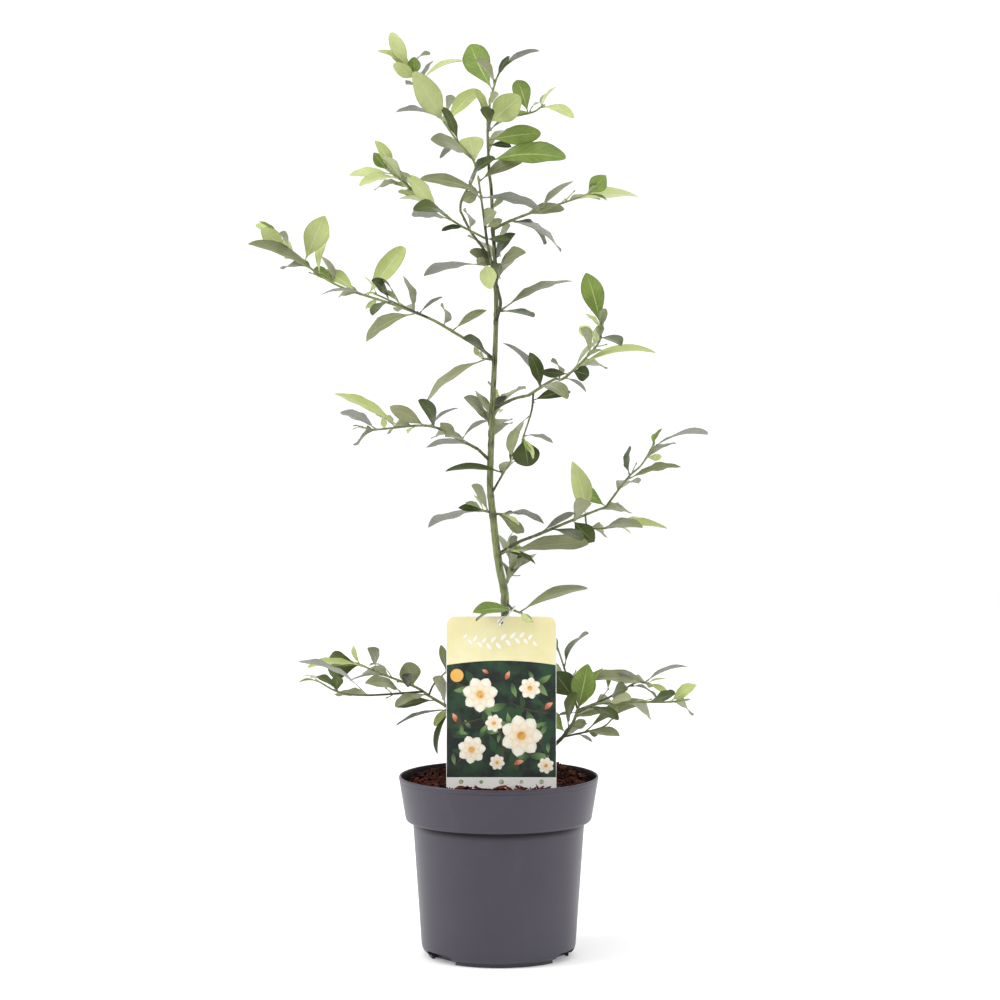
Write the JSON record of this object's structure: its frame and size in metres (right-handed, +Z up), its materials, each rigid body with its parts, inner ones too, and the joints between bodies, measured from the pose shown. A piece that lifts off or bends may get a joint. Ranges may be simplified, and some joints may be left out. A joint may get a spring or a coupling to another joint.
{
  "type": "potted young magnolia tree",
  "caption": "Slim young magnolia with sparse pointed leaves on thin boughs, in a round stepped nursery pot with bark compost and a plain picture label tied to its stem.",
  "frame": {"origin": "middle of the pot's flat underside, where it stands", "axes": "+Z up along the stem, front with the label towards -Y, +X to the right as seen from the front"},
  "size_m": [0.4392, 0.2581, 0.8776],
  "materials": {
    "pot_plastic": "satin anthracite",
    "bark_compost": "coarse red-brown bark",
    "label_card": "printed satin plastic card",
    "tie_plastic": "white plastic tie",
    "bark": "thin olive bark with dark patches",
    "leaf": "satin green leaves with grey-green undersides"
  },
  "bodies": {
    "root": {"back_high": "leaf", "back_low": "leaf", "back_middle": "leaf", "bough_high_left": "bark", "bough_high_right": "bark", "bough_leader": "bark", "bough_low_left": "bark", "bough_low_right": "bark", "bough_mid_left": "bark", "bough_mid_right": "bark", "bough_top_left": "bark", "foliage_high_left": "leaf", "foliage_high_right": "leaf", "foliage_leader": "leaf", "foliage_low_left": "leaf", "foliage_low_right": "leaf", "foliage_mid_left": "leaf", "foliage_mid_right": "leaf", "foliage_small_right": "leaf", "foliage_top": "leaf", "foliage_top_left": "leaf", "label": "label_card", "label_tie": "tie_plastic", "pot": "pot_plastic", "soil": "bark_compost", "spur_fork": "leaf", "spur_high_left": "leaf", "spur_inner": "leaf", "spur_label": "leaf", "spur_middle_left": "leaf", "spur_middle_right": "leaf", "spur_upper_left": "leaf", "spur_upper_right": "leaf", "trunk": "bark"}
  },
  "joints": []
}
